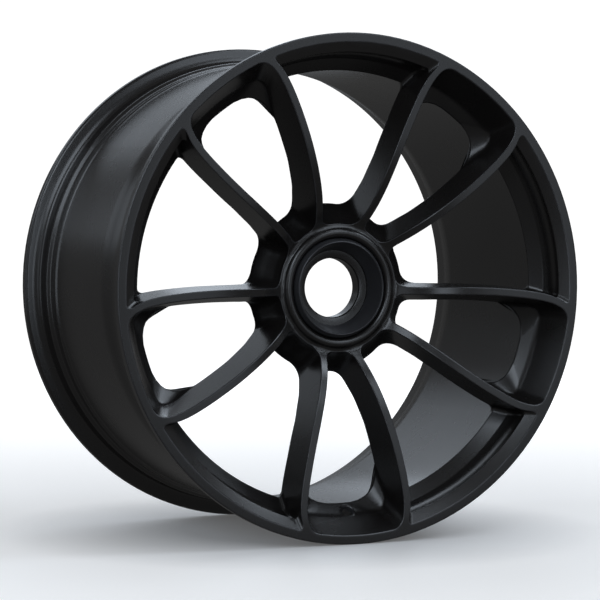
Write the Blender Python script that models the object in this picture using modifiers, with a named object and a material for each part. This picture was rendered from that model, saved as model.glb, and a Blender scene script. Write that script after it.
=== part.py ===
"""Forged racing wheel, 20 x 11 inch, centre-lock, standing on its rim.

World frame: metres, +Z up, wheel axis along Y with the outboard face towards -Y,
origin at the centre of the wheel. Everything is drawn in the wheel's own frame,
where z runs outboard along the axis and depth is measured inboard from the lip.
"""

import math

import bmesh
import bpy
import numpy as np
from mathutils import Matrix

MM = 0.001

# Driving dimensions, millimetres. Radii are from the axis, depths from the lip face.
RIM_RADIUS = 271.5
WIDTH = 301.0
BEAD_RADIUS = 254.0
SEAM_DEPTH = 60.0
CLEARANCE = 0.3

PAIRS = 5
HALF_PITCH = 36.0
SPOKE_FACE_HALF = 4.35
DRAFT_TEARDROP = 0.16
DRAFT_OPEN = 0.083
SPOKE_ROOT = 69.0
SPOKE_TIP = 252.0
SPOKE_DEPTH = 45.0

HUB_CREST = 59.8
HUB_CREST_DEPTH = 41.6
HUB_PAD_RADIUS = 93.0
HUB_PAD_DEPTH = 79.0
BORE_RADIUS = 32.0
SEAT_POCKET_RADIUS = 54.0
SEAT_POCKET_FLOOR = 60.0

BUSHES = 5
BUSH_CIRCLE = 65.0
BUSH_RADIUS = 10.0
BUSH_FLANGE_RADIUS = 12.5
BUSH_FLANGE = 2.5
BUSH_BORE = 7.2
BUSH_LENGTH = 14.0
BUSH_RECESS = 0.4

VALVE_HOLE_RADIUS = 5.75
VALVE_SPOTFACE_RADIUS = 8.0
VALVE_LENGTH = 60.0
VALVE_PLACE = (7.5, -240.0, 38.2)
VALVE_LEAN_DEGREES = 134.0
VALVE_SIDES = 24

LIP_EDGE = 1.8
ABOVE_FACE = 6.0
WALL_POINTS = 7
CORNER_POINTS = 5

WHEEL_STEPS = 72
SEAT_STEPS = 40
BUSH_STEPS = 20
# The rim's facets lie on its true radius, so its corners stand a little outside it.
RIM_CORNER = RIM_RADIUS / math.cos(math.pi / WHEEL_STEPS)

# Turned inside of the rim, seen through the open windows: (depth, radius).
OPEN_RIM = (
    (-ABOVE_FACE, 262.0), (0.0, 262.0), (6.5, 251.0), (11.0, 252.4), (20.0, 252.2),
    (27.0, 250.0), (32.0, 246.4), (41.8, 233.7), (SEAM_DEPTH, 234.7),
)
# Rim wall of the teardrop windows: a sloped pocket wall, then the ledge.
TEARDROP_RIM = (
    (-ABOVE_FACE, 265.0), (0.0, 262.0), (17.0, 253.2), (34.0, 244.5), (47.0, 230.5),
    (SEAM_DEPTH, 229.5),
)
# Hub end of every window, flaring towards the mounting face.
HUB_WALL = ((48.0, SPOKE_ROOT), (56.0, 74.0), (64.0, 80.5), (72.0, 88.0), (HUB_PAD_DEPTH, 93.0))
# Half the angle between the two spokes of a pair, degrees, against radius.
PAIR_RADII = (69.0, 87.0, 110.0, 136.0, 165.0, 190.0, 215.0, 232.0, 244.0, 252.0, 258.0, 264.0)
PAIR_ANGLES = (15.4, 15.8, 16.3, 16.6, 16.6, 16.3, 15.8, 15.3, 14.7, 14.0, 13.3, 12.6)


def clear_scene():
    """Remove everything that the scene starts with."""
    for obj in list(bpy.data.objects):
        bpy.data.objects.remove(obj, do_unlink=True)


def new_collection(name):
    """Return a new collection linked to the scene."""
    collection = bpy.data.collections.new(name)
    bpy.context.scene.collection.children.link(collection)
    return collection


def new_material(name, colour, roughness, metallic):
    """Return a Principled material with these values."""
    material = bpy.data.materials.new(name)
    material.use_nodes = True
    shader = material.node_tree.nodes["Principled BSDF"]
    shader.inputs["Base Color"].default_value = (*colour, 1.0)
    shader.inputs["Roughness"].default_value = roughness
    shader.inputs["Metallic"].default_value = metallic
    material.diffuse_color = (*colour, 1.0)
    return material


def height(depth):
    """Return the wheel-frame z of a depth below the lip face."""
    return WIDTH / 2 - depth


def spoke_face_depth(radius):
    """Return how far the spoke fronts dish in at a radius: level at the lip, steep at the hub."""
    fall = np.exp(-(radius - SPOKE_ROOT) / 38.0) - math.exp(-(SPOKE_TIP - SPOKE_ROOT) / 38.0)
    dish = 0.03 * (SPOKE_TIP - radius) + 42.0 * fall
    return np.where(radius < SPOKE_TIP, dish, 0.0)


def pair_angle(radius):
    """Return the angle in radians from a pair's axis to its spokes' centreline."""
    return np.radians(np.interp(radius, PAIR_RADII, PAIR_ANGLES))


def add_object(name, mesh, collection, parent, material=None):
    """Return a new object of a mesh, linked and parented."""
    obj = bpy.data.objects.new(name, mesh)
    collection.objects.link(obj)
    obj.parent = parent
    if material:
        mesh.materials.append(material)
    return obj


def turned(name, profile, steps, collection, parent, material=None):
    """Return a turned solid from a closed loop of (radius, depth) points, by a Screw modifier.

    The loop starts half a step round, so that a facet faces straight down.
    """
    count = len(profile)
    mesh = bpy.data.meshes.new(name)
    cos, sin = math.cos(math.pi / steps), math.sin(math.pi / steps)
    points = [
        (radius * cos * MM, radius * sin * MM, height(depth) * MM) for radius, depth in profile
    ]
    edges = [(i, i + 1) for i in range(count - 1)]
    if profile[0][0] > 0.0:
        edges.append((count - 1, 0))
    mesh.from_pydata(points, edges, [])
    obj = add_object(name, mesh, collection, parent, material)
    screw = obj.modifiers.new("Screw", "SCREW")
    screw.axis = "Z"
    screw.steps = steps
    screw.render_steps = steps
    screw.use_merge_vertices = True
    screw.merge_threshold = 0.00005
    screw.use_smooth_shade = True
    return obj


def loft(name, sections, collection, parent):
    """Return a closed solid through equal-count loops of points, capped at both ends."""
    work = bmesh.new()
    loops = [[work.verts.new(point) for point in section] for section in sections]
    for lower, upper in zip(loops, loops[1:]):
        for i in range(len(lower)):
            j = (i + 1) % len(lower)
            work.faces.new((lower[i], lower[j], upper[j], upper[i]))
    work.faces.new(loops[0][::-1])
    work.faces.new(loops[-1])
    bmesh.ops.recalc_face_normals(work, faces=work.faces)
    mesh = bpy.data.meshes.new(name)
    work.to_mesh(mesh)
    work.free()
    return add_object(name, mesh, collection, parent)


def rounded_corner(before, corner, after, count=CORNER_POINTS):
    """Return points of a smooth bend from one point to another, drawn towards the corner."""
    t = np.linspace(0.0, 1.0, count)[:, None]
    return (1 - t) ** 2 * before + 2 * t * (1 - t) * corner + t**2 * after


def window_outline(depth, rim_profile, draft, from_pair_axis, rim_corner, hub_corner):
    """Return the loop of a window at a depth: hub arc, spoke wall, rim arc and mirror image.

    Points are (x, y) in millimetres with the window's axis along y.
    """
    rim = np.interp(depth, *zip(*rim_profile))
    hub = np.interp(depth, *zip(*HUB_WALL))

    def wall(radius):
        angle = pair_angle(radius)
        if not from_pair_axis:
            angle = math.radians(HALF_PITCH) - angle
        below_face = np.clip(depth - spoke_face_depth(radius), 0.0, SPOKE_DEPTH)
        half = SPOKE_FACE_HALF + draft * below_face
        return np.stack([radius * np.sin(angle) - half, radius * np.cos(angle)], axis=-1)

    def arc(radius, from_x, to_x, count):
        x = np.linspace(from_x, to_x, count)
        return np.stack([x, np.sqrt(radius**2 - x**2)], axis=-1)

    hub_end = wall(np.array(hub))
    hub_end[1] = math.sqrt(hub**2 - hub_end[0] ** 2)
    hub_corner = min(hub_corner, 0.85 * hub_end[0])
    rim_end = wall(np.array(rim))
    rim_end[1] = math.sqrt(rim**2 - rim_end[0] ** 2)
    side = wall(np.linspace(hub + hub_corner, rim - rim_corner, WALL_POINTS))
    hub_arc = arc(hub, 0.0, hub_end[0] - hub_corner, 3)
    rim_arc = arc(rim, rim_end[0] - rim_corner, 0.0, 4)
    half_loop = np.concatenate([
        hub_arc,
        rounded_corner(hub_arc[-1], hub_end, side[0])[1:-1],
        side,
        rounded_corner(side[-1], rim_end, rim_arc[0])[1:-1],
        rim_arc,
    ])
    mirrored = half_loop[-2:0:-1] * (-1.0, 1.0)
    return np.concatenate([half_loop, mirrored])


def window_sections(levels, turn, **shape):
    """Return the sections of one window cutter, turned about the wheel's axis by an angle."""
    cos, sin = math.cos(turn), math.sin(turn)
    sections = []
    for depth, rim_corner, hub_corner in levels:
        loop = window_outline(depth, rim_corner=rim_corner, hub_corner=hub_corner, **shape)
        sections.append([
            ((x * cos - y * sin) * MM, (x * sin + y * cos) * MM, height(depth) * MM)
            for x, y in loop
        ])
    return sections


def window_cutters(collection, parent):
    """Return the ten window cutters: teardrops inside the pairs, open ones between them."""
    teardrop_levels = (
        (-ABOVE_FACE, 10.0, 9.0), (0.0, 10.0, 9.0), (17.0, 11.0, 9.0), (34.0, 13.0, 9.0),
        (47.0, 34.0, 10.0), (56.0, 34.0, 11.0), (64.0, 34.0, 12.0), (72.0, 34.0, 13.0),
        (HUB_PAD_DEPTH + ABOVE_FACE, 34.0, 14.0),
    )
    open_levels = (
        (-ABOVE_FACE, 5.0, 12.0), (0.0, 5.0, 12.0), (6.5, 5.0, 12.0), (11.0, 5.0, 12.0),
        (20.0, 5.0, 12.0), (27.0, 5.0, 12.0), (32.0, 5.0, 12.0), (41.8, 5.0, 12.0),
        (SEAM_DEPTH, 5.0, 13.0), (66.0, 5.0, 14.0), (72.0, 5.0, 15.0),
        (HUB_PAD_DEPTH + ABOVE_FACE, 5.0, 16.0),
    )
    cutters = []
    for pair in range(PAIRS):
        axis_angle = math.radians(180.0 + 2 * HALF_PITCH * pair)
        sections = window_sections(
            teardrop_levels, axis_angle, rim_profile=TEARDROP_RIM, draft=DRAFT_TEARDROP,
            from_pair_axis=True,
        )
        cutters.append(loft(f"teardrop_cutter_{pair + 1}", sections, collection, parent))
        sections = window_sections(
            open_levels, axis_angle + math.radians(HALF_PITCH), rim_profile=OPEN_RIM,
            draft=DRAFT_OPEN, from_pair_axis=False,
        )
        cutters.append(loft(f"open_cutter_{pair + 1}", sections, collection, parent))
    return cutters


def face_profile():
    """Return the closed (radius, depth) loop of the blank that the windows are cut from."""
    bore = [
        (BORE_RADIUS, HUB_PAD_DEPTH - 1.0), (BORE_RADIUS, 63.5), (33.0, 62.0), (41.0, SEAT_POCKET_FLOOR),
        (SEAT_POCKET_RADIUS, SEAT_POCKET_FLOOR), (SEAT_POCKET_RADIUS, 45.5), (55.5, 43.6),
        (57.6, 42.0), (HUB_CREST, HUB_CREST_DEPTH), (62.2, 42.6), (65.0, 45.6),
    ]
    radii = (SPOKE_ROOT, 76.0, 84.0, 94.0, 106.0, 122.0, 142.0, 170.0, 210.0)
    face = [(radius, float(spoke_face_depth(np.array(radius)))) for radius in radii]
    flange = [
        (SPOKE_TIP, 0.0), (RIM_RADIUS - LIP_EDGE, 0.0), (RIM_CORNER, LIP_EDGE), (RIM_CORNER, 8.0),
        (269.0, 10.5), (262.0, 11.8), (256.5, 14.5), (BEAD_RADIUS + 0.4, 19.0),
        (BEAD_RADIUS - 0.8, 37.0), (BEAD_RADIUS, 40.0), (252.0, 43.0), (243.5, 54.0),
        (242.0, SEAM_DEPTH),
    ]
    back = [
        (234.7, SEAM_DEPTH), (233.9, 46.5), (190.0, 46.0), (150.0, 50.0), (122.0, 58.0),
        (106.0, 68.0), (97.0, 75.5), (HUB_PAD_RADIUS, 78.0), (90.0, HUB_PAD_DEPTH),
        (BORE_RADIUS + 1.0, HUB_PAD_DEPTH),
    ]
    return bore + face + flange + back


def barrel_profile():
    """Return the closed (radius, depth) loop of the rim behind the seam."""
    outside = [
        (242.0, SEAM_DEPTH + CLEARANCE), (242.0, 96.0), (246.0, 112.0), (248.0, 180.0),
        (249.6, 246.0), (251.4, 248.0), (251.0, 262.5), (BEAD_RADIUS + 1.2, 267.0),
        (BEAD_RADIUS - 0.2, 271.5), (BEAD_RADIUS + 0.5, 282.0), (256.5, 286.5), (262.0, 289.2),
        (269.0, 290.5), (RIM_CORNER, 293.0), (RIM_CORNER, WIDTH - LIP_EDGE),
        (RIM_RADIUS - LIP_EDGE, WIDTH),
    ]
    inside = [
        (258.0, WIDTH), (256.4, 299.6), (251.4, 272.0), (248.4, 262.0), (245.2, 248.0),
        (240.0, 154.0), (234.7, SEAM_DEPTH + CLEARANCE),
    ]
    return outside + inside


def seat_profile():
    """Return the closed (radius, depth) loop of the conical nut seat ring."""
    outer = SEAT_POCKET_RADIUS - CLEARANCE
    floor = SEAT_POCKET_FLOOR - CLEARANCE
    return [
        (41.2, floor), (40.6, 58.0), (48.9, 39.4), (49.6, 38.4), (50.5, 38.8),
        (outer, 44.2), (outer, floor),
    ]


def bush_profile():
    """Return the closed (radius, depth) loop of a flanged drive pin bush about its own axis."""
    front = HUB_PAD_DEPTH - BUSH_RECESS - BUSH_LENGTH
    rear = HUB_PAD_DEPTH - BUSH_RECESS
    return [
        (BUSH_BORE, front), (BUSH_RADIUS - 0.6, front), (BUSH_RADIUS, front + 0.6),
        (BUSH_RADIUS, rear - BUSH_FLANGE), (BUSH_FLANGE_RADIUS, rear - BUSH_FLANGE),
        (BUSH_FLANGE_RADIUS, rear), (BUSH_BORE + 1.0, rear), (BUSH_BORE, rear - 1.0),
    ]


def bush_pocket_profile():
    """Return the loop, down to the axis, of the pocket that one bush is pressed into."""
    floor = HUB_PAD_DEPTH - BUSH_RECESS - BUSH_LENGTH - CLEARANCE
    step = HUB_PAD_DEPTH - BUSH_RECESS - BUSH_FLANGE - CLEARANCE
    wide = BUSH_FLANGE_RADIUS + CLEARANCE
    return [
        (0.0, floor), (BUSH_RADIUS + CLEARANCE, floor), (BUSH_RADIUS + CLEARANCE, step),
        (wide, step), (wide, HUB_PAD_DEPTH + 4.0), (0.0, HUB_PAD_DEPTH + 4.0),
    ]


def valve_cutter(collection, parent):
    """Return the stepped cutter of the valve hole, square to the ledge of the lowest teardrop."""
    work = bmesh.new()
    for radius, length, shift in (
        (VALVE_HOLE_RADIUS, VALVE_LENGTH, 0.0),
        (VALVE_SPOTFACE_RADIUS, VALVE_LENGTH / 2, -VALVE_LENGTH / 4 + 1.5),
    ):
        bmesh.ops.create_cone(
            work, cap_ends=True, segments=VALVE_SIDES, radius1=radius * MM, radius2=radius * MM,
            depth=length * MM, matrix=Matrix.Translation((0.0, 0.0, shift * MM)),
        )
    mesh = bpy.data.meshes.new("valve_cutter")
    work.to_mesh(mesh)
    work.free()
    return add_object("valve_cutter", mesh, collection, parent)


def cut(target, cutter):
    """Subtract one object from another with an exact Boolean."""
    boolean = target.modifiers.new(f"Cut {cutter.name}", "BOOLEAN")
    boolean.operation = "DIFFERENCE"
    boolean.solver = "EXACT"
    boolean.object = cutter


def build():
    """Make the wheel's parts and their cutters."""
    clear_scene()
    parts = new_collection("forged_racing_wheel")
    cutters = new_collection("cutters")
    axle = bpy.data.objects.new("wheel_axis", None)
    parts.objects.link(axle)
    axle.rotation_euler = (math.pi / 2, 0.0, 0.0)

    satin_black = new_material("satin_black", (0.016, 0.017, 0.021), 0.38, 0.0)
    hard_anodised = new_material("hard_anodised", (0.03, 0.032, 0.036), 0.32, 0.8)
    plated_steel = new_material("plated_steel", (0.42, 0.41, 0.39), 0.34, 1.0)

    face = turned("wheel_face", face_profile(), WHEEL_STEPS, parts, axle, satin_black)
    turned("rim_barrel", barrel_profile(), WHEEL_STEPS, parts, axle, satin_black)
    turned("nut_seat_ring", seat_profile(), SEAT_STEPS, parts, axle, hard_anodised)

    for cutter in window_cutters(cutters, axle):
        cut(face, cutter)
    for index in range(BUSHES):
        angle = math.radians(90.0 + 360.0 * index / BUSHES)
        place = (BUSH_CIRCLE * math.cos(angle) * MM, BUSH_CIRCLE * math.sin(angle) * MM, 0.0)
        bush = turned(
            f"drive_bush_{index + 1}", bush_profile(), BUSH_STEPS, parts, axle, plated_steel
        )
        bush.location = place
        pocket = turned(
            f"bush_pocket_{index + 1}", bush_pocket_profile(), BUSH_STEPS + 4, cutters, axle
        )
        pocket.location = place
        cut(face, pocket)
    valve = valve_cutter(cutters, axle)
    valve.location = (VALVE_PLACE[0] * MM, VALVE_PLACE[1] * MM, height(VALVE_PLACE[2]) * MM)
    valve.rotation_euler = (math.radians(VALVE_LEAN_DEGREES), 0.0, 0.0)
    cut(face, valve)

    for cutter in cutters.objects:
        cutter.hide_render = True
        cutter.display_type = "WIRE"


build()
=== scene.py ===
"""Looks of a forged racing wheel: the one-piece forging, its nut seat ring and its drive bushes.

Lengths are millimetres in the wheel's own frame until a mesh is written: x right, y up,
and depth inboard from the lip face. The written mesh is in metres in the shared frame.
"""

import logging
import math
from dataclasses import dataclass
from enum import Enum

import bmesh
import bpy
import numpy as np
from mathutils import Matrix, Vector


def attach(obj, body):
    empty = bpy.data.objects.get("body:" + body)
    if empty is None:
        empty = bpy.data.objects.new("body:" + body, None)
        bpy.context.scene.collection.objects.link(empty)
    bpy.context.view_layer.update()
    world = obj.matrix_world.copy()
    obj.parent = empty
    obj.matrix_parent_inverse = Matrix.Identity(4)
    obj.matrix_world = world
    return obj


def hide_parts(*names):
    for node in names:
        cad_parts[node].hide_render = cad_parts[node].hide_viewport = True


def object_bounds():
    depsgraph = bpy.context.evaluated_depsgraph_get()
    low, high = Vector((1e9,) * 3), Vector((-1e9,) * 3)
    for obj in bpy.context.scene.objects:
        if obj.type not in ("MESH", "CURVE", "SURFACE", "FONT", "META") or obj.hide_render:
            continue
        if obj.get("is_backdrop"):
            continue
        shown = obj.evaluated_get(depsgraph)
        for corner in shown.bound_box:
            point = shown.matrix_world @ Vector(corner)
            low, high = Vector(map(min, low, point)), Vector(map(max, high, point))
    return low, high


log = logging.getLogger("racing_wheel")
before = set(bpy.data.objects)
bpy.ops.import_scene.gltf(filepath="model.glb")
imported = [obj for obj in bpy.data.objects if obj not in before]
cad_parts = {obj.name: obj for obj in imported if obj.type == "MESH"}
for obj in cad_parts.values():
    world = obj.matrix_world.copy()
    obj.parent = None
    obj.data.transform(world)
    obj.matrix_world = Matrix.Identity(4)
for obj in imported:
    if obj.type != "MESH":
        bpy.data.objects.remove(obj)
CAD_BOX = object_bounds()

MM = 0.001
HALF_WIDTH = 150.5
WELD = 2e-6
PAIRS = 5
BUSH_CIRCLE = 65.0

Source = bpy.types.NodeSocket | float | tuple[float, ...]
Rows = tuple[tuple[float, ...], ...]
# The Mix node's sockets for colours, which share their names with those for numbers.
MIX_SHARE, MIX_FIRST_COLOUR, MIX_SECOND_COLOUR, MIX_COLOUR = 0, 6, 7, 2


class Window(Enum):
    """The two kinds of window between the spokes."""

    TEARDROP = "inside a pair of spokes"
    OPEN = "between two pairs"


class Slot(Enum):
    """The finishes that the record names."""

    PAINT = "satin_black_paint"
    ANODISED = "hard_anodised_alloy"
    PLATED = "plated_steel"


def to_world(x: np.ndarray, y: np.ndarray, depth: np.ndarray) -> np.ndarray:
    """Carry wheel-frame points into the shared frame.

    The point (x, y, depth) goes to (x, depth - half the width, y).

    Args:
        x: Distances to the right of the axis, mm.
        y: Distances above the axis, mm.
        depth: Distances inboard of the lip face, mm.

    Returns:
        Points in mm, with one more axis of length three.
    """
    x, y, depth = np.broadcast_arrays(x, y, depth)
    return np.stack([x, depth - HALF_WIDTH, y], axis=-1)


def bend(
    before: np.ndarray, corner: np.ndarray, after: np.ndarray, share: np.ndarray
) -> np.ndarray:
    """Return a quadratic curve from one point to another, drawn towards a corner.

    P(t) = (1 - t)^2 A + 2 t (1 - t) C + t^2 B.

    Args:
        before: Start points A.
        corner: Corner points C.
        after: End points B.
        share: Values of t, already shaped to broadcast against the points.

    Returns:
        The points of the curve.
    """
    return (1 - share) ** 2 * before + 2 * share * (1 - share) * corner + share**2 * after


def filleted(corners: Rows, steps: int = 3) -> np.ndarray:
    """Return a polyline with its corners rounded.

    Each corner is (radius, depth) or (radius, depth, cut), where cut is how far along each leg
    the bend starts. The bend is the quadratic curve of its start, corner and end.

    Args:
        corners: The corners in order.
        steps: Spans in each bend.

    Returns:
        An array of (radius, depth) rows.
    """
    points = np.array([corner[:2] for corner in corners])
    cuts = np.array([corner[2] if len(corner) > 2 else 0.0 for corner in corners])
    rows = [points[:1]]
    t = np.linspace(0.0, 1.0, steps + 1)[:, None]
    for i in range(1, len(points) - 1):
        back, ahead = points[i - 1] - points[i], points[i + 1] - points[i]
        reach = min(cuts[i], 0.49 * np.hypot(*back), 0.49 * np.hypot(*ahead))
        if reach < 0.02:
            rows.append(points[i : i + 1])
            continue
        start = points[i] + back / np.hypot(*back) * reach
        end = points[i] + ahead / np.hypot(*ahead) * reach
        rows.append(bend(start, points[i], end, t))
    rows.append(points[-1:])
    return np.concatenate(rows)


def smoothed(knots: Rows, width: float) -> tuple[np.ndarray, np.ndarray]:
    """Return a dense table of a curve through knots, with its kinks smoothed.

    The curve is the straight-line table convolved with a Gaussian of the given width.

    Args:
        knots: Pairs (position, value) in rising order.
        width: Standard deviation of the Gaussian, in units of position.

    Returns:
        Positions and values for np.interp.
    """
    at, value = np.array(knots).T
    reach = 4 * width
    step = width / 8
    x = np.arange(at[0] - 2 * reach, at[-1] + 2 * reach, step)
    first = (value[1] - value[0]) / (at[1] - at[0])
    last = (value[-1] - value[-2]) / (at[-1] - at[-2])
    y = np.interp(x, at, value)
    y += np.minimum(x - at[0], 0.0) * first + np.maximum(x - at[-1], 0.0) * last
    kernel = np.exp(-0.5 * (np.arange(-reach, reach + step, step) / width) ** 2)
    soft = np.convolve(y, kernel / kernel.sum(), mode="same")
    inside = (x > at[0] - reach) & (x < at[-1] + reach)
    return x[inside], soft[inside]


class Skin:
    """A closed surface gathered from grids of points."""

    def __init__(self) -> None:
        """Start with no points."""
        self.points: list[np.ndarray] = []
        self.quads: list[np.ndarray] = []
        self.edge: list[np.ndarray] = []
        self.count = 0

    def grid(self, points: np.ndarray, edge: float | np.ndarray = 0.0) -> None:
        """Add a grid of quads.

        Args:
            points: An (m, n, 3) array in mm, in the shared frame.
            edge: How far each point lies on an exposed edge, 0 to 1; the paint is lighter there,
                as rubbed paint and as a painted highlight.
        """
        rows, columns = points.shape[:2]
        index = np.arange(rows * columns).reshape(rows, columns) + self.count
        quads = np.stack([index[:-1, :-1], index[1:, :-1], index[1:, 1:], index[:-1, 1:]], axis=-1)
        self.points.append(points.reshape(-1, 3))
        self.quads.append(quads.reshape(-1, 4))
        self.edge.append(np.broadcast_to(edge, (rows, columns)).reshape(-1))
        self.count += rows * columns

    def sector_grid(self, points: np.ndarray, edge: float | np.ndarray = 0.0) -> None:
        """Add a grid given for half a sector, with its mirror image and its turned copies.

        Args:
            points: An (m, n, 3) array of x, y and depth, with a pair's axis along y.
            edge: As for grid.
        """
        for pair in range(PAIRS):
            turn = math.pi * (1.0 + 2.0 * pair / PAIRS)
            for side in (1.0, -1.0):
                x, y = side * points[..., 0], points[..., 1]
                self.grid(
                    to_world(
                        x * math.cos(turn) - y * math.sin(turn),
                        x * math.sin(turn) + y * math.cos(turn),
                        points[..., 2],
                    ),
                    edge,
                )

    def turned_sector(
        self,
        profile: np.ndarray,
        first: np.ndarray,
        last: np.ndarray,
        edge: float | np.ndarray = 0.0,
    ) -> None:
        """Add a full turn of a profile whose angles drift from one set to another.

        Row i of the profile is at angles first + i / n (last - first), given for half a sector.

        Args:
            profile: Rows of (radius, depth).
            first: Angles along the first row, radians.
            last: Angles along the last row, radians.
            edge: As for grid.
        """
        drift = np.linspace(0.0, 1.0, len(profile))[:, None]
        angle = first * (1 - drift) + last * drift
        radius, depth = profile[:, 0, None], profile[:, 1, None]
        points = [radius * np.sin(angle), radius * np.cos(angle), depth + 0 * angle]
        self.sector_grid(np.stack(points, axis=-1), edge)

    def turned(self, profile: np.ndarray, spans: int, edge: float | np.ndarray = 0.0) -> None:
        """Add a full turn of a profile: each (r, d) at angle a goes to (r sin a, r cos a, d).

        Args:
            profile: Rows of (radius, depth).
            spans: Spans in the turn.
            edge: As for grid.
        """
        angle = np.linspace(0.0, 2 * math.pi, spans + 1)[None, :] + math.pi
        radius, depth = profile[:, 0, None], profile[:, 1, None]
        self.grid(to_world(radius * np.sin(angle), radius * np.cos(angle), depth), edge)

    def piece(self, name: str) -> bpy.types.Object:
        """Return the closed piece as a new object at the origin, welded and facing outwards.

        Args:
            name: The piece's name.

        Returns:
            The new object.
        """
        mesh = bpy.data.meshes.new(name)
        mesh.from_pydata(np.concatenate(self.points) * MM, [], np.concatenate(self.quads))
        # Each point's edge share, which lightens the paint as rubbed paint and as a painted
        # highlight.
        wear_and_highlight = mesh.attributes.new("edge", "FLOAT", "POINT")
        wear_and_highlight.data.foreach_set("value", np.concatenate(self.edge).astype(np.float32))
        work = bmesh.new()
        work.from_mesh(mesh)
        bmesh.ops.remove_doubles(work, verts=work.verts, dist=WELD)
        bmesh.ops.recalc_face_normals(work, faces=work.faces)
        open_edges = sum(len(e.link_faces) != 2 for e in work.edges)
        triangles = sum(len(f.verts) - 2 for f in work.faces)
        if work.calc_volume(signed=True) < 0:
            bmesh.ops.reverse_faces(work, faces=work.faces)
        work.to_mesh(mesh)
        work.free()
        mesh.shade_smooth()
        obj = bpy.data.objects.new(name, mesh)
        bpy.context.scene.collection.objects.link(obj)
        log.info("%s: %d triangles, %d edges not closed", name, triangles, open_edges)
        return obj


class Nodes:
    """A short way to write a material's node tree."""

    def __init__(self, name: str) -> None:
        """Start a material with only its Principled shader.

        Args:
            name: The material's name.
        """
        self.material = bpy.data.materials.new(name)
        self.material.use_nodes = True
        self.tree = self.material.node_tree
        self.shader = self.tree.nodes["Principled BSDF"]
        self.place = self.add("ShaderNodeTexCoord").outputs["Object"]

    def add(self, kind: str, **settings: str) -> bpy.types.Node:
        """Add a node.

        Args:
            kind: Blender's name for the kind of node.
            settings: The node's properties by name.

        Returns:
            The new node.
        """
        node = self.tree.nodes.new(kind)
        for key, value in settings.items():
            setattr(node, key, value)
        return node

    def feed(self, socket: bpy.types.NodeSocket, source: Source) -> None:
        """Link a socket to another socket, or set it to a constant.

        Args:
            socket: The input to feed.
            source: An output socket, a number or a colour.
        """
        if isinstance(source, bpy.types.NodeSocket):
            self.tree.links.new(source, socket)
        else:
            socket.default_value = source

    def noise(
        self, scale: float, detail: float = 2.0, stretch: tuple[float, ...] = (1, 1, 1)
    ) -> bpy.types.NodeSocket:
        """Return the value of a noise over the piece's own space.

        Args:
            scale: Cells in a metre.
            detail: How many finer layers lie on it.
            stretch: Its scale along x, y and z, over and above that.

        Returns:
            The noise's value.
        """
        mapping = self.add("ShaderNodeMapping")
        self.feed(mapping.inputs["Vector"], self.place)
        mapping.inputs["Scale"].default_value = stretch
        node = self.add("ShaderNodeTexNoise")
        self.feed(node.inputs["Vector"], mapping.outputs["Vector"])
        node.inputs["Scale"].default_value = scale
        node.inputs["Detail"].default_value = detail
        return node.outputs["Fac"]

    def range(
        self, value: Source, low: float, high: float, to_low: float, to_high: float
    ) -> bpy.types.NodeSocket:
        """Carry a value from one range to another, held at its ends.

        Args:
            value: The value.
            low: Where the first range starts.
            high: Where it ends.
            to_low: Where the second range starts.
            to_high: Where it ends.

        Returns:
            The carried value.
        """
        node = self.add("ShaderNodeMapRange")
        self.feed(node.inputs["Value"], value)
        limits = {"From Min": low, "From Max": high, "To Min": to_low, "To Max": to_high}
        for key, number in limits.items():
            node.inputs[key].default_value = number
        return node.outputs["Result"]

    def math(self, operation: str, first: Source, second: Source) -> bpy.types.NodeSocket:
        """Work out one arithmetic step.

        Args:
            operation: Blender's name for the step.
            first: The first value.
            second: The second value.

        Returns:
            The result.
        """
        node = self.add("ShaderNodeMath", operation=operation)
        self.feed(node.inputs[0], first)
        self.feed(node.inputs[1], second)
        return node.outputs["Value"]

    def blend(self, share: Source, first: Source, second: Source) -> bpy.types.NodeSocket:
        """Blend two colours.

        Args:
            share: 0 for the first colour and 1 for the second.
            first: The first colour.
            second: The second colour.

        Returns:
            The colour between them.
        """
        node = self.add("ShaderNodeMix", data_type="RGBA")
        self.feed(node.inputs[MIX_SHARE], share)
        self.feed(node.inputs[MIX_FIRST_COLOUR], first)
        self.feed(node.inputs[MIX_SECOND_COLOUR], second)
        return node.outputs[MIX_COLOUR]

    def bump(
        self,
        height: Source,
        distance: float,
        strength: float,
        below: bpy.types.NodeSocket | None = None,
    ) -> bpy.types.NodeSocket:
        """Return a normal tilted by a height.

        Args:
            height: The height, 0 to 1.
            distance: How many metres a height of 1 stands for.
            strength: How much of the tilt shows.
            below: The normal of another bump that this one lies on.

        Returns:
            The normal.
        """
        node = self.add("ShaderNodeBump")
        self.feed(node.inputs["Height"], height)
        node.inputs["Distance"].default_value = distance
        node.inputs["Strength"].default_value = strength
        if below is not None:
            self.feed(node.inputs["Normal"], below)
        return node.outputs["Normal"]

    def set(self, **sources: Source) -> None:
        """Feed the shader's inputs.

        Args:
            sources: What each input takes, by its name with underscores for spaces.
        """
        for key, source in sources.items():
            self.feed(self.shader.inputs[key.replace("_", " ")], source)


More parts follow.
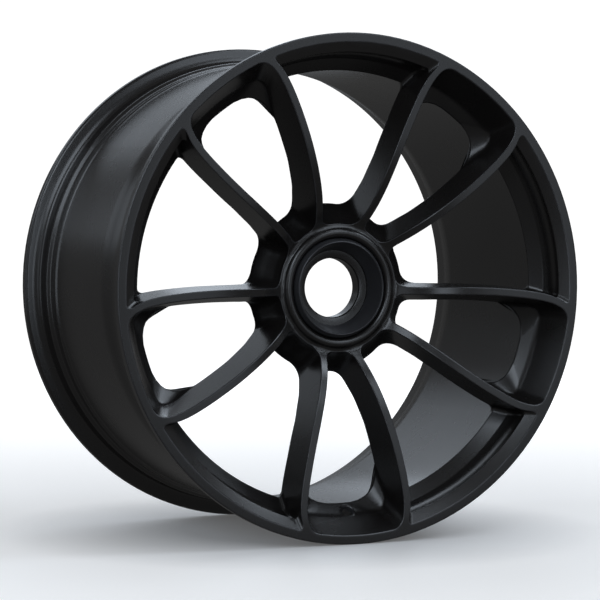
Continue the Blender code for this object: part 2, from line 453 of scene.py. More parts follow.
@dataclass(frozen=True)
class SatinBlackPaint:
    """Baked satin black paint over a shot-blasted forging."""

    base: tuple[float, ...] = (0.0085, 0.0074, 0.0070, 1.0)
    lifted: tuple[float, ...] = (0.0110, 0.0096, 0.0090, 1.0)
    # Lighter colour for the exposed edges: rubbed paint, and a painted highlight along them.
    rubbed_and_highlight: tuple[float, ...] = (0.040, 0.040, 0.044, 1.0)
    roughness: tuple[float, float] = (0.268, 0.276)
    specular: float = 0.72
    peel_height: float = 0.0000015
    grain_height: float = 0.0000005
    bump_strength: float = 0.15

    def material(self) -> bpy.types.Material:
        """Make the paint: soft clouds of tone, fine peel and grain, and lighter edges: rubbed
        paint and a painted highlight.

        Returns:
            The new material.
        """
        n = Nodes(Slot.PAINT.value)
        cloud = n.noise(9.0, 2.0)
        peel = n.noise(420.0, 1.0)
        grain = n.noise(1500.0, 1.0)
        # Mask of exposed edges, where the paint is lighter: partly rubbed paint, partly a painted
        # highlight.
        wear_and_highlight = n.add("ShaderNodeAttribute", attribute_name="edge").outputs["Fac"]
        broken = n.range(n.noise(90.0, 4.0), 0.35, 0.65, 0.45, 1.0)
        tone = n.blend(n.range(cloud, 0.35, 0.65, 0.0, 1.0), self.base, self.lifted)
        below = n.bump(peel, self.peel_height, self.bump_strength)
        n.set(
            # On the edges the tone turns to the lighter colour: rubbed paint and a painted
            # highlight.
            Base_Color=n.blend(n.math("MULTIPLY", wear_and_highlight, broken), tone, self.rubbed_and_highlight),
            Roughness=n.range(n.noise(24.0, 2.0), 0.3, 0.7, *self.roughness),
            Specular_IOR_Level=self.specular,
            Normal=n.bump(grain, self.grain_height, self.bump_strength, below),
        )
        return n.material


@dataclass(frozen=True)
class HardAnodising:
    """Dark hard anodising over turned alloy."""

    dark: tuple[float, ...] = (0.046, 0.046, 0.050, 1.0)
    light: tuple[float, ...] = (0.060, 0.060, 0.064, 1.0)
    groove_pitch: float = 0.00035

    def material(self) -> bpy.types.Material:
        """Make the finish: fine turning rings about the axis under a dark coat.

        Returns:
            The new material.
        """
        n = Nodes(Slot.ANODISED.value)
        split = n.add("ShaderNodeSeparateXYZ")
        n.feed(split.inputs[0], n.place)
        ring = n.add("ShaderNodeMath", operation="SINE")
        turns = 2 * math.pi / self.groove_pitch
        n.feed(ring.inputs[0], n.math("MULTIPLY", split.outputs["Y"], turns))
        cloud = n.noise(60.0, 3.0)
        n.set(
            Base_Color=n.blend(cloud, self.dark, self.light),
            Metallic=0.5,
            Roughness=n.range(n.noise(300.0, 3.0, (1, 8, 1)), 0.3, 0.7, 0.34, 0.38),
            Normal=n.bump(ring.outputs["Value"], 0.000004, 0.4),
        )
        return n.material


@dataclass(frozen=True)
class PlatedSteel:
    """Bright zinc plate over turned steel."""

    bright: tuple[float, ...] = (0.52, 0.51, 0.49, 1.0)
    dull: tuple[float, ...] = (0.36, 0.355, 0.34, 1.0)

    def material(self) -> bpy.types.Material:
        """Make the finish: cloudy plate with fine turning lines.

        Returns:
            The new material.
        """
        n = Nodes(Slot.PLATED.value)
        cloud = n.noise(170.0, 4.0)
        lines = n.noise(900.0, 2.0, (0.15, 1.0, 0.15))
        n.set(
            Base_Color=n.blend(n.range(cloud, 0.3, 0.7, 0.0, 1.0), self.dull, self.bright),
            Metallic=1.0,
            Roughness=n.range(cloud, 0.3, 0.7, 0.26, 0.40),
            Normal=n.bump(lines, 0.00001, 0.3),
        )
        return n.material


def dress(piece: bpy.types.Object, finish: bpy.types.Material, slot: Slot, *nodes: str) -> None:
    """Give a piece its finish and let it stand for its CAD nodes.

    Args:
        piece: The finished piece.
        finish: Its material.
        slot: The record's name for the finish; not used.
        nodes: The CAD nodes that the piece stands for.
    """
    piece.data.materials.append(finish)
    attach(piece, "root")
    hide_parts(*nodes)


@dataclass
class WheelForging:
    """The one-piece forging: hub, five pairs of spokes, lip, and barrel with its rear flange."""

    half_pitch: float = 36.0
    spoke_half: float = 4.35
    teardrop_draft: float = 0.16
    open_draft: float = 0.083
    web_depth: float = 46.5
    edge_size: float = 1.1
    root: float = 69.0
    tip: float = 252.0
    pad_edge: float = 93.0
    lip_edge: float = 269.7
    foot: float = 65.0
    pad_ring: float = 88.0
    bore: float = 33.0
    pad_depth: float = 79.0
    dish_slope: float = 0.03
    dish_drop: float = 42.0
    dish_length: float = 38.0
    foot_depth: float = 45.6
    foot_slope: float = 0.39
    foot_blend: float = 1.1
    foot_reach: float = 110.0
    web_meets_barrel: tuple[float, float] = (234.03, 48.0)
    valve_place: tuple[float, float, float] = (7.5, -240.0, 38.2)
    valve_lean: float = 44.0
    valve_tool: Rows = (
        (0, -14), (8.0, -14), (8.0, 1.5), (5.75, 1.5), (5.75, 30.0), (0, 30.0),
    )
    spoke_angles: Rows = (
        (69.0, 15.4), (87.0, 15.8), (110.0, 16.3), (136.0, 16.6), (165.0, 16.6), (190.0, 16.3),
        (215.0, 15.8), (232.0, 15.3), (244.0, 14.7), (252.0, 14.0), (258.0, 13.3), (264.0, 12.6),
    )
    web_back: Rows = (
        (60.0, 79.0), (90.0, 79.0), (93.0, 78.0), (97.0, 75.5), (106.0, 68.0), (122.0, 58.0),
        (150.0, 50.0), (190.0, 46.6), (240.0, 46.5), (300.0, 46.5),
    )
    hub_wall: Rows = (
        (40.0, 68.9), (48.0, 69.3), (56.0, 74.0), (64.0, 80.5), (72.0, 88.0), (79.0, 93.0),
        (84.0, 95.0),
    )
    open_rim: Rows = (
        (262.0, 0.0), (251.2, 6.5, 0.9), (252.6, 11.5, 3.0), (252.6, 18.0, 5.0),
        (250.6, 25.6, 5.0), (246.4, 32.0, 0.9), (233.7, 41.8, 0.9), (233.95, 46.5),
    )
    teardrop_rim: Rows = (
        (262.0, 0.0), (253.2, 17.0, 7.0), (244.5, 34.0, 4.0), (232.6, 45.0, 0.9), (231.6, 46.5),
    )
    # How far the windows' corners reach: by depth at the rim, by share of the depth at the hub.
    teardrop_rim_cut: Rows = ((0.0, 10.0), (17.0, 11.0), (34.0, 13.0), (45.0, 34.0))
    open_rim_cut: Rows = ((0.0, 5.0), (45.0, 5.0))
    teardrop_hub_cut: Rows = ((0.0, 9.0), (0.3, 9.5), (1.0, 14.0))
    open_hub_cut: Rows = ((0.0, 12.0), (0.3, 12.5), (1.0, 16.0))
    corner_room: float = 0.85
    draft_depth: float = 45.0
    web_corner: float = 234.0
    # Where the barrel's edges are lightened as rubbed paint and as a painted highlight: the
    # radius, the width about it, and the reach from each end face.
    wear_and_highlight_radius: float = 271.0
    wear_and_highlight_width: float = 0.5
    wear_and_highlight_reach: float = 1.7
    valve_spans: int = 48
    closest_rows: float = 0.025
    arc_spans: int = 8
    corner_spans: int = 7
    side_spans: int = 26
    strip_spans: int = 6
    hub_spans: int = 5

    def __post_init__(self) -> None:
        """Work out the smoothed tables."""
        self.angle_table = smoothed(self.spoke_angles, 6.0)
        self.back_table = smoothed(self.web_back, 2.5)
        self.hub_table = smoothed(self.hub_wall, 1.5)

    def front(self, radius: np.ndarray) -> np.ndarray:
        """Return the depth of the front face, a smooth lesser of two slopes.

        One rises in a straight line from the foot of the crest. The other dishes towards the
        lip: slope (tip - r) + drop (exp(-(r - root) / length) - exp(-(tip - root) / length)).

        Args:
            radius: Distances from the axis.

        Returns:
            Depths below the lip face.
        """
        length, soft = self.dish_length, self.foot_blend
        fall = np.exp(-(radius - self.root) / length) - math.exp(-(self.tip - self.root) / length)
        dish = self.dish_slope * (self.tip - radius) + self.dish_drop * fall
        dish = np.where(radius < self.tip, dish, 0.0)
        rise = self.foot_depth + self.foot_slope * (radius - self.foot)
        lesser = -soft * np.logaddexp(-dish / soft, -rise / soft)
        return np.where(radius > self.foot_reach, dish, lesser)

    def back(self, radius: np.ndarray) -> np.ndarray:
        """Return the depth of the rear face at a radius."""
        return np.interp(radius, *self.back_table)

    def rows(self, window: Window) -> tuple[np.ndarray, np.ndarray]:
        """Work out the rows of a window's wall, from the front to the rear face.

        Args:
            window: Which window.

        Returns:
            The radius of the rim at each row, and each row's share of the way back.
        """
        corners = self.teardrop_rim if window is Window.TEARDROP else self.open_rim
        radius, depth = filleted(corners, 4).T
        keep = (depth > self.edge_size + 0.4) | (depth == 0.0)
        keep &= (depth < self.web_depth - self.edge_size - 0.2) | (depth == self.web_depth)
        share = depth[keep] / self.web_depth
        known = radius[keep]
        finer = np.unique(np.round(np.concatenate([share, np.linspace(0.08, 0.92, 7)]), 4))
        gap = np.min(np.abs(finer[:, None] - share[None, :]), axis=1)
        finer = np.sort(np.concatenate([share, finer[gap > self.closest_rows]]))
        return np.interp(finer, share, known), finer

    def side(self, window: Window, radius: np.ndarray, share: np.ndarray) -> np.ndarray:
        """Return (x, y) of a spoke's side wall, with the window's axis along y.

        x = r sin(a) - h and y = r cos(a), where a is the angle from the window's axis to the
        spoke's centreline and h grows with depth by the draft.

        Args:
            window: Which side of the spoke.
            radius: Distances along the spoke.
            share: Shares of the way from front to rear face.

        Returns:
            Points in the plane.
        """
        angle = np.interp(radius, *self.angle_table)
        draft = self.teardrop_draft
        if window is Window.OPEN:
            angle = self.half_pitch - angle
            draft = self.open_draft
        below = np.clip(share * (self.back(radius) - self.front(radius)), 0.0, self.draft_depth)
        half = self.spoke_half + draft * below
        angle = np.radians(angle)
        return np.stack([radius * np.sin(angle) - half, radius * np.cos(angle)], axis=-1)

    def wall(self, window: Window) -> np.ndarray:
        """Return a window's wall from hub centre to rim centre at each row, as x, y and depth.

        Each row is an arc about the hub, a bend, the spoke's side, a bend, and an arc at the rim.
        The depth is front + g (back - front), where g is the row's share away from the hub.

        Args:
            window: Which window.

        Returns:
            An (m, n, 3) array with the window's axis along y.
        """
        rim, share = self.rows(window)
        rim, share = rim[:, None], share[:, None]
        rear = share * self.web_depth
        own_axis = window is Window.TEARDROP
        rim_cuts = np.array(self.teardrop_rim_cut if own_axis else self.open_rim_cut)
        hub_cuts = np.array(self.teardrop_hub_cut if own_axis else self.open_hub_cut)
        rim_cut, hub_cut = np.interp(rear, *rim_cuts.T), np.interp(share, *hub_cuts.T)
        at_front = self.front(np.array(self.root))
        hub_depth = at_front + share * (self.back(np.array(self.pad_edge)) - at_front)
        hub = np.interp(hub_depth, *self.hub_table)
        hub_share = (hub_depth - self.front(hub)) / (self.back(hub) - self.front(hub))
        hub_share = np.where(share == 0.0, 0.0, np.where(share == 1.0, 1.0, hub_share))

        hub_x = self.side(window, hub, hub_share)[..., 0]
        hub_cut = np.minimum(hub_cut, self.corner_room * hub_x)
        rim_x = self.side(window, rim, share)[..., 0]
        rim_cut = np.minimum(rim_cut, self.corner_room * rim_x)
        u = np.linspace(0.0, 1.0, self.side_spans + 1)[None, :]
        side = self.side(window, (hub + hub_cut) * (1 - u) + (rim - rim_cut) * u, share)

        u = np.linspace(0.0, 1.0, self.hub_spans + 1)[None, :]
        x = (hub_x - hub_cut) * u
        hub_arc = np.stack([x, np.sqrt(hub**2 - x**2)], axis=-1)
        u = np.linspace(1.0, 0.0, self.arc_spans + 1)[None, :]
        x = (rim_x - rim_cut) * u
        rim_arc = np.stack([x, np.sqrt(rim**2 - x**2)], axis=-1)

        t = np.linspace(0.0, 1.0, self.corner_spans + 1)[None, 1:-1, None]
        hub_end = np.stack([hub_x, np.sqrt(hub**2 - hub_x**2)], axis=-1)
        rim_end = np.stack([rim_x, np.sqrt(rim**2 - rim_x**2)], axis=-1)
        hub_bend = bend(hub_arc[:, -1:], hub_end, side[:, :1], t)
        rim_bend = bend(side[:, -1:], rim_end, rim_arc[:, :1], t)
        flat = np.concatenate([hub_arc, hub_bend, side, rim_bend, rim_arc], axis=1)

        mixed = hub_share + (share - hub_share) * t[..., 0]
        local = np.concatenate(
            [
                np.repeat(hub_share, self.hub_spans + 1, axis=1),
                mixed,
                np.repeat(share, flat.shape[1] - self.hub_spans - self.corner_spans, axis=1),
            ],
            axis=1,
        )
        return self.between(flat, local)

    def between(self, flat: np.ndarray, share: np.ndarray) -> np.ndarray:
        """Lift points of the plane to a surface between the front and the rear face.

        Args:
            flat: An array ending in x and y.
            share: Each point's share of the way from the front to the rear.

        Returns:
            The same array ending in x, y and depth.
        """
        radius = np.hypot(flat[..., 0], flat[..., 1])
        front = self.front(radius)
        depth = front + share * (self.back(radius) - front)
        return np.concatenate([flat, depth[..., None]], axis=-1)

    @staticmethod
    def unit(vectors: np.ndarray) -> np.ndarray:
        """Return vectors scaled to length one."""
        return vectors / np.linalg.norm(vectors, axis=-1, keepdims=True)

    def outward(self, loop: np.ndarray) -> np.ndarray:
        """Work out the unit normals of a half-loop in the plane, pointing into the metal.

        Args:
            loop: The half-loop, (n, 2) or more columns.

        Returns:
            The normals, (n, 2).
        """
        span = self.unit(np.diff(loop[:, :2], axis=0))
        tangent = np.concatenate([[[1.0, 0.0]], self.unit(span[1:] + span[:-1]), [[-1.0, 0.0]]])
        return np.stack([tangent[:, 1], -tangent[:, 0]], axis=-1)

    def rounded_edge(
        self, loop: np.ndarray, inner: np.ndarray, share: float, size: np.ndarray
    ) -> tuple[np.ndarray, np.ndarray]:
        """Return the rounding between a face and a window's wall.

        It is the bend from a point inset on the face, drawn to the edge, to a point down the wall.

        Args:
            loop: The sharp edge, (n, 3).
            inner: The next row of the wall, (n, 3).
            share: 0 on the front face and 1 on the rear.
            size: How far the rounding reaches, for each point.

        Returns:
            The rows of the rounding from face to wall, and the inset edge in the plane.
        """
        size = size[:, None]
        flat = loop[:, :2] + self.outward(loop) * size
        inset = self.between(flat, np.full(len(flat), share))
        down = loop + self.unit(inner - loop) * size
        t = np.linspace(0.0, 1.0, 5)[:, None, None]
        return bend(inset[None], loop[None], down[None], t), inset

    def joined(self, teardrop: np.ndarray, open_: np.ndarray, last: bool) -> np.ndarray:
        """Return the path along both windows at one end of a spoke, from axis to axis.

        Args:
            teardrop: The teardrop's inset loop, (n, 3).
            open_: The open window's inset loop, (n, 3), in the teardrop's frame.
            last: True for the rim end.

        Returns:
            The path from the teardrop's axis to the open window's axis, (k, 3).
        """
        head = self.hub_spans + self.corner_spans
        cross = np.linspace(0.0, 1.0, self.strip_spans + 1)[1:-1, None]
        if last:
            start = head + self.side_spans
            first, second = teardrop[start:][::-1], open_[start:]
        else:
            first, second = teardrop[: head + 1], open_[: head + 1][::-1]
        middle = first[-1] * (1 - cross) + second[0] * cross
        return np.concatenate([first, middle, second])

    def from_open_axis(self, points: np.ndarray) -> np.ndarray:
        """Return points given about the open window's axis in the teardrop's frame.

        The angle a from the open window's axis becomes half the pitch less a.

        Args:
            points: An array ending in x, y and depth.

        Returns:
            The same points in the other frame.
        """
        angle = math.radians(self.half_pitch)
        x, y = points[..., 0], points[..., 1]
        return np.stack(
            [
                y * math.sin(angle) - x * math.cos(angle),
                y * math.cos(angle) + x * math.sin(angle),
                points[..., 2],
            ],
            axis=-1,
        )

    @staticmethod
    def circle(radius: float, depth: float, angle: np.ndarray) -> np.ndarray:
        """Return an arc of half a sector: (r sin a, r cos a) at each angle a."""
        height = np.full(len(angle), depth)
        return np.stack([radius * np.sin(angle), radius * np.cos(angle), height], axis=-1)

    @staticmethod
    def ring_angles(path: np.ndarray, arc: int) -> np.ndarray:
        """Return the angles that a path's points take on a nearby circle.

        The two arcs at the path's ends keep their own angles, and the bends between are even.

        Args:
            path: The path from axis to axis.
            arc: Spans in each end arc.

        Returns:
            Rising angles, radians.
        """
        angle = np.arctan2(path[:, 0], path[:, 1])
        middle = slice(arc, len(path) - arc)
        angle[middle] = np.linspace(angle[arc], angle[-1 - arc], len(path) - 2 * arc)
        return angle

    def face(
        self, skin: Skin, inset: dict[Window, np.ndarray], rear: bool
    ) -> tuple[np.ndarray, np.ndarray]:
        """Add the front or the rear face of the spokes, hub and rim.

        Args:
            skin: The surface to add to.
            inset: Each window's inset edge.
            rear: True for the rear face.

        Returns:
            The angles of half a sector on the hub's circle and on the rim's.
        """
        teardrop, open_ = inset[Window.TEARDROP], self.from_open_axis(inset[Window.OPEN])
        share = 1.0 if rear else 0.0
        head = self.hub_spans + self.corner_spans
        v = np.linspace(0.0, 1.0, self.strip_spans + 1)[:, None, None]
        flat = teardrop[None, :, :2] * (1 - v) + open_[None, :, :2] * v
        strip = self.between(flat, np.full(flat.shape[:2], share))
        skin.sector_grid(strip[:, head : head + self.side_spans + 1])

        hub_path = self.joined(teardrop, open_, last=False)
        hub_path = self.between(hub_path[:, :2], np.full(len(hub_path), share))
        target = self.pad_ring if rear else self.foot
        hub_angles = self.ring_angles(hub_path, self.hub_spans)
        ring = self.circle(target, 0.0, hub_angles)
        v = np.linspace(0.0, 1.0, 5)[:, None, None]
        flat = hub_path[None, :, :2] * (1 - v) + ring[None, :, :2] * v
        skin.sector_grid(self.between(flat, np.full(flat.shape[:2], share)))

        rim_path = self.joined(teardrop, open_, last=True)
        rim_path = self.between(rim_path[:, :2], np.full(len(rim_path), share))
        rim_angles = self.ring_angles(rim_path, self.arc_spans)
        v = np.linspace(0.0, 1.0, 4)[:, None, None]
        if rear:
            ring = self.circle(*self.web_meets_barrel, rim_angles)
            corner = self.circle(self.web_corner, self.web_depth, rim_angles)
            skin.sector_grid(bend(rim_path[None], corner[None], ring[None], v))
        else:
            ring = self.circle(self.lip_edge, 0.0, rim_angles)
            skin.sector_grid(rim_path[None] * (1 - v) + ring[None] * v)
        return hub_angles, rim_angles

    def hub_front(self) -> np.ndarray:
        """Draw the profile from the foot of the crest over it and down the bore to the rear.

        Returns:
            Rows of (radius, depth).
        """
        at_foot = float(self.front(np.array(self.foot)))
        return filleted((
            (self.foot, at_foot), (63.8, 43.5, 1.2), (61.9, 41.9, 1.2), (59.6, 41.4, 1.15),
            (57.2, 41.9, 1.2), (55.4, 43.6, 1.2), (54.0, 46.2, 1.2), (54.0, 60.0), (41.0, 60.0),
            (33.0, 62.0, 0.5), (32.0, 63.6, 0.5), (32.0, 78.0, 0.4), (self.bore, self.pad_depth),
        ))

    def barrel(self) -> np.ndarray:
        """Draw the profile from the lip face round the barrel to the inside of the spokes.

        Returns:
            Rows of (radius, depth).
        """
        return filleted((
            (self.lip_edge, 0.0), (271.5, 0.0, 1.6), (271.5, 8.6, 1.0), (268.8, 10.7, 1.4),
            (262.0, 11.8, 2.5), (256.5, 14.5, 2.5), (254.4, 19.0, 2.5), (253.2, 37.0, 1.5),
            (254.0, 40.0, 1.2), (252.0, 43.0, 2.0), (243.5, 54.0, 5.0), (242.0, 61.0, 4.0),
            (242.0, 96.0, 8.0), (246.0, 112.0, 8.0), (248.0, 180.0, 10.0), (249.4, 244.6, 1.2),
            (251.4, 247.6, 1.0), (251.0, 262.5, 1.6), (255.0, 267.0, 1.6), (253.8, 271.5, 1.6),
            (254.5, 282.0, 3.0), (256.5, 286.8, 2.0), (262.0, 289.4, 2.0), (269.2, 290.4, 1.2),
            (271.5, 292.4, 0.9), (271.5, 301.0, 1.7), (258.6, 301.0, 0.9), (256.5, 299.2, 1.2),
            (251.4, 272.0, 3.0), (248.4, 262.0, 3.0), (245.2, 248.0, 5.0), (240.0, 154.0, 20.0),
            (234.5, 56.0, 4.0), self.web_meets_barrel,
        ), 2)

    def pad(self, skin: Skin, inside: np.ndarray, outside: np.ndarray) -> None:
        """Add the rear pad with its bush pockets.

        Half of each pocket's rim is joined to the path round half a sector by straight rows.

        Args:
            skin: The surface to add to.
            inside: Angles of half a sector round the bore.
            outside: Angles of half a sector round the pad.
        """
        depth = self.pad_depth
        inner = self.circle(self.bore, depth, inside)
        outer = self.circle(self.pad_ring, float(self.back(np.array(self.pad_ring))), outside)
        along = np.linspace(0.0, 1.0, 9)[1:-1, None]
        radial = inner[0] * (1 - along) + outer[0] * along
        path = np.concatenate([inner[::-1], radial, outer])
        turn = np.linspace(0.0, math.pi, len(path))
        axis = math.radians(self.half_pitch)
        away = np.array([math.sin(axis), math.cos(axis)])
        across = np.array([-math.cos(axis), math.sin(axis)])
        ray = np.sin(turn)[:, None] * across - np.cos(turn)[:, None] * away
        profile = filleted((
            (13.3, depth), (12.8, depth), (12.8, 75.8, 0.3), (10.3, 75.8, 0.3),
            (10.3, 64.3, 0.3), (0.0, 64.3),
        ), 2)
        hole = away * BUSH_CIRCLE + ray[None] * profile[:, 0, None, None]
        level = np.broadcast_to(profile[:, 1, None, None], hole.shape[:2] + (1,))
        rows = np.concatenate([hole, level], axis=-1)
        v = np.linspace(0.0, 1.0, 6)[:, None, None]
        skin.sector_grid(path[None] * (1 - v) + rows[:1] * v)
        skin.sector_grid(rows)

    def build(self) -> bpy.types.Object:
        """Return the whole forging as one closed piece.

        Returns:
            The new object, with its valve hole cut.
        """
        skin = Skin()
        front: dict[Window, np.ndarray] = {}
        rear: dict[Window, np.ndarray] = {}
        for window in Window:
            wall = self.wall(window)
            count = wall.shape[1]
            size = np.full(count, self.edge_size)
            lip, front[window] = self.rounded_edge(wall[0], wall[1], 0.0, size)
            if window is Window.OPEN:
                start = self.hub_spans + self.corner_spans + self.side_spans
                fade = np.clip((np.arange(count) - start) / self.corner_spans, 0.0, 1.0)
                size = size * (1 - fade)
            heel, rear[window] = self.rounded_edge(wall[-1], wall[-2], 1.0, size)
            shell = np.concatenate([lip[-1:], wall[1:-1], heel[-1:]])
            # How much the rounding rows are lightened, as rubbed paint and as a painted highlight;
            # the rear edges get half.
            wear_and_highlight = np.array([0.15, 0.6, 1.0, 0.6, 0.15])[:, None]
            for rows, edge in ((lip, wear_and_highlight), (shell, 0.0), (heel[::-1], 0.5 * wear_and_highlight)):
                own_axis = window is Window.TEARDROP
                skin.sector_grid(rows if own_axis else self.from_open_axis(rows), edge)
        front_hub, front_rim = self.face(skin, front, rear=False)
        rear_hub, rear_rim = self.face(skin, rear, rear=True)
        self.pad(skin, front_hub, rear_hub)
        skin.turned_sector(self.hub_front(), front_hub, front_hub)
        barrel = self.barrel()
        # The barrel's outer edges at the lip face and the rear flange are lightened too: rubbed
        # paint and a painted highlight.
        barrel_wear_and_highlight = np.exp(-(((barrel[:, 0] - self.wear_and_highlight_radius) / self.wear_and_highlight_width) ** 2))
        barrel_wear_and_highlight *= np.abs(barrel[:, 1] - HALF_WIDTH) > HALF_WIDTH - self.wear_and_highlight_reach
        skin.turned_sector(barrel, front_rim, rear_rim, barrel_wear_and_highlight[:, None])
        piece = skin.piece("wheel_forging")
        self.cut_valve_hole(piece)
        even = piece.modifiers.new("Even normals", "WEIGHTED_NORMAL")
        even.keep_sharp = True
        return piece

    def cut_valve_hole(self, piece: bpy.types.Object) -> None:
        """Cut the stepped valve hole square to the ledge of the lowest teardrop window.

        Args:
            piece: The forging.
        """
        skin = Skin()
        angle = np.linspace(0.0, 2 * math.pi, self.valve_spans + 1)[None, :]
        lean = math.radians(self.valve_lean)
        out, along = np.array(self.valve_tool).T[..., None]
        at_x, at_y, at_depth = self.valve_place
        across, up = out * np.cos(angle), out * np.sin(angle)
        height = at_y - along * math.cos(lean) + up * math.sin(lean)
        inboard = at_depth + along * math.sin(lean) + up * math.cos(lean)
        skin.grid(to_world(at_x + across, height, inboard))
        cutter = skin.piece("valve_cutter")
        hole = piece.modifiers.new("Valve hole", "BOOLEAN")
        hole.operation = "DIFFERENCE"
        hole.solver = "EXACT"
        hole.object = cutter
        graph = bpy.context.evaluated_depsgraph_get()
        cut = bpy.data.meshes.new_from_object(piece.evaluated_get(graph))
        piece.modifiers.clear()
        old, piece.data = piece.data, cut
        bpy.data.meshes.remove(old)
        bpy.data.objects.remove(cutter)


@dataclass
class NutSeatRing:
    """The conical ring that the centre nut bears on."""

    corners: Rows = (
        (41.2, 59.7), (40.6, 58.9, 0.5), (40.9, 57.2, 0.5), (48.7, 39.6, 0.5),
        (49.6, 38.4, 0.45), (50.7, 38.9, 0.6), (53.1, 43.0, 0.5), (53.7, 44.6, 0.6),
        (53.7, 59.7, 0.3), (41.2, 59.7),
    )
    spans: int = 240

    def build(self) -> bpy.types.Object:
        """Turn the ring about the wheel's axis.

        Returns:
            The new piece.
        """
        skin = Skin()
        skin.turned(filleted(self.corners, 4), self.spans)
        return skin.piece("nut_seat")


@dataclass
class DriveBush:
    """A flanged bush for one drive pin, pressed into the rear pad."""

    number: int
    spans: int = 72
    corners: Rows = (
        (7.2, 64.6), (9.4, 64.6, 0.3), (10.0, 65.3, 0.3), (10.0, 76.1, 0.2), (12.2, 76.1, 0.2),
        (12.5, 76.4, 0.2), (12.5, 78.6, 0.5), (8.2, 78.6, 0.3), (7.2, 77.6, 0.3), (7.2, 64.6),
    )

    def build(self) -> bpy.types.Object:
        """Turn the bush about its own axis, at its place on the circle.

        Returns:
            The new piece.
        """
        skin = Skin()
        angle = np.linspace(0.0, 2 * math.pi, self.spans + 1)[None, :]
        out, depth = filleted(self.corners, 3).T[..., None]
        at = math.pi * (0.5 + 2.0 * (self.number - 1) / PAIRS)
        x = BUSH_CIRCLE * math.cos(at) + out * np.cos(angle)
        y = BUSH_CIRCLE * math.sin(at) + out * np.sin(angle)
        skin.grid(to_world(x, y, depth))
        return skin.piece(f"pin_bush_{self.number}")


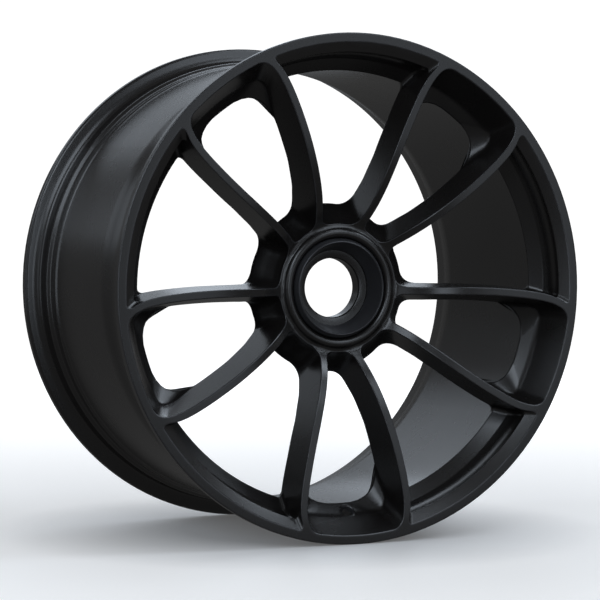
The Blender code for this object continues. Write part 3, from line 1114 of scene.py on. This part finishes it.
@dataclass
class Studio:
    """A pale floor, soft lights and the camera."""

    floor_level: float = CAD_BOX[0][2]
    floor_size: float = 14.0
    floor_greys: tuple[float, float] = (0.60, 0.63)
    # The floor glows by its distance from the wheel's centre: dimmed near the wheel as a painted
    # shadow, rising to full far off.
    shade_reach: tuple[float, float, float] = (0.30, 0.44, 2.2)
    shade_glow: tuple[float, float, float] = (0.08, 0.42, 1.0)
    sky_seen: float = 1.0
    sky_light: float = 0.1
    eye: tuple[float, float, float] = (-1.16188, -2.49137, 0.07309)
    eye_right: tuple[float, float, float] = (0.9059, -0.4234, 0.0036)
    eye_up: tuple[float, float, float] = (0.0105, 0.0309, 0.9995)
    eye_ahead: tuple[float, float, float] = (0.4233, 0.9054, -0.0324)
    lens: float = 147.94
    lamp_colour: tuple[float, ...] = (0.80, 0.89, 1.0)

    def floor(self) -> None:
        """Lay the pale floor, which glows, with its glow dimmed near the wheel as a painted
        shadow.
        """
        half = self.floor_size / 2
        mesh = bpy.data.meshes.new("studio_floor")
        corners = [(-half, -half), (half, -half), (half, half), (-half, half)]
        mesh.from_pydata([(x, y, self.floor_level) for x, y in corners], [], [(0, 1, 2, 3)])
        floor = bpy.data.objects.new("studio_floor", mesh)
        bpy.context.scene.collection.objects.link(floor)
        n = Nodes("pale_floor")
        reach = n.add("ShaderNodeVectorMath", operation="LENGTH")
        n.feed(reach.inputs[0], n.place)
        near, past, far = self.shade_reach
        dark, dim, full = self.shade_glow
        # Glow under the wheel kept low as a painted shadow, then rising to full white far off.
        glow_with_painted_shadow = n.range(reach.outputs["Value"], near, past, dark, dim)
        beyond = n.range(reach.outputs["Value"], past, far, 0.0, full - dim)
        first, second = ((grey, grey, grey, 1.0) for grey in self.floor_greys)
        n.set(
            Base_Color=n.blend(n.noise(0.6, 2.0), first, second),
            Roughness=0.55,
            Specular_IOR_Level=0.2,
            Emission_Color=(1.0, 1.0, 1.0, 1.0),
            Emission_Strength=n.math("ADD", glow_with_painted_shadow, beyond),
        )
        mesh.materials.append(n.material)
        floor.visible_glossy = False
        floor.visible_diffuse = False
        floor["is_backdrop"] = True

    def lamp(
        self, name: str, place: tuple[float, ...], size: tuple[float, ...], power: float
    ) -> None:
        """Hang a soft rectangular lamp that faces the wheel.

        Args:
            name: The lamp's name.
            place: Where it hangs, metres.
            size: Its width and height, metres.
            power: Its power in watts.
        """
        light = bpy.data.lights.new(name, "AREA")
        light.shape = "RECTANGLE"
        light.size, light.size_y = size
        light.energy = power
        light.color = self.lamp_colour
        lamp = bpy.data.objects.new(name, light)
        bpy.context.scene.collection.objects.link(lamp)
        lamp.location = place
        lamp.rotation_euler = (-Vector(place)).to_track_quat("-Z", "Y").to_euler()

    def lights(self) -> None:
        """Set the sky and the lamps."""
        world = bpy.data.worlds.new("studio")
        world.use_nodes = True
        tree = world.node_tree
        seen = tree.nodes.new("ShaderNodeLightPath").outputs["Is Camera Ray"]
        level = tree.nodes.new("ShaderNodeMath")
        level.operation = "MULTIPLY_ADD"
        tree.links.new(seen, level.inputs[0])
        level.inputs[1].default_value = self.sky_seen
        level.inputs[2].default_value = self.sky_light
        tree.links.new(level.outputs["Value"], tree.nodes["Background"].inputs["Strength"])
        tree.nodes["Background"].inputs["Color"].default_value = (1.0, 1.0, 1.0, 1.0)
        bpy.context.scene.world = world
        self.lamp("back_top", (0.3, 3.0, 1.3), (2.0, 0.8), 3.9)
        self.lamp("back_high", (0.0, 2.2, 2.4), (2.4, 1.0), 9.5)
        self.lamp("back_left", (-1.8, 2.4, 1.0), (1.2, 1.0), 2.1)
        self.lamp("back_right_low", (1.4, 2.9, 0.15), (1.0, 0.6), 0.4)
        self.lamp("back_right", (1.4, 2.7, 0.95), (1.0, 0.8), 3.0)
        self.lamp("back_right_high", (1.3, 2.1, 1.7), (1.0, 0.8), 5.0)
        self.lamp("over_back", (0.5, 1.2, 2.0), (1.0, 0.6), 4.0)
        self.lamp("over_front_right", (0.9, -0.7, 1.9), (1.0, 1.0), 7.0)
        self.lamp("top_right", (1.6, -0.6, 1.4), (0.8, 0.8), 7.5)
        self.lamp("front_right", (1.5, -3.0, 0.2), (1.4, 1.4), 3.9)
        self.lamp("front_right_high", (1.2, -2.4, 1.6), (1.4, 1.4), 12.0)
        self.lamp("front_left_high", (-1.6, -2.4, 1.6), (1.4, 1.4), 20.0)
        self.lamp("front_left", (-0.6, -3.2, 0.2), (1.0, 1.0), 7.6)
        self.lamp("front_left_low", (-2.6, -1.6, 0.2), (1.2, 1.2), 2.8)
        self.lamp("left_high", (-2.4, 0.2, 1.6), (1.4, 1.4), 15.0)
        self.lamp("left", (-2.8, 0.8, 0.2), (1.0, 1.4), 5.0)

    def camera(self) -> None:
        """Set the camera, from its place and its right, up and forward directions."""
        data = bpy.data.cameras.new("camera")
        data.sensor_width = 36.0
        data.lens = self.lens
        data.clip_end = 60.0
        camera = bpy.data.objects.new("camera", data)
        bpy.context.scene.collection.objects.link(camera)
        axes = zip(self.eye_right, self.eye_up, self.eye_ahead, self.eye)
        rows = [(right, up, -ahead, at) for right, up, ahead, at in axes]
        camera.matrix_world = Matrix([*rows, (0.0, 0.0, 0.0, 1.0)])
        bpy.context.scene.camera = camera

    def build(self) -> None:
        """Make the floor, the lights and the camera."""
        self.floor()
        self.lights()
        self.camera()
        bpy.context.scene.view_settings.view_transform = "Standard"


def main() -> None:
    """Build the wheel and its studio."""
    logging.basicConfig(level=logging.INFO, format="%(name)s: %(message)s")
    paint = SatinBlackPaint().material()
    anodised = HardAnodising().material()
    plated = PlatedSteel().material()
    dress(WheelForging().build(), paint, Slot.PAINT, "wheel_face", "rim_barrel")
    dress(NutSeatRing().build(), anodised, Slot.ANODISED, "nut_seat_ring")
    for number in range(1, PAIRS + 1):
        dress(DriveBush(number).build(), plated, Slot.PLATED, f"drive_bush_{number}")
    Studio().build()
    boxes = {"cad": CAD_BOX, "visual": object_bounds()}
    boxes = {name: [list(corner) for corner in box] for name, box in boxes.items()}


if __name__ == "__main__":
    main()
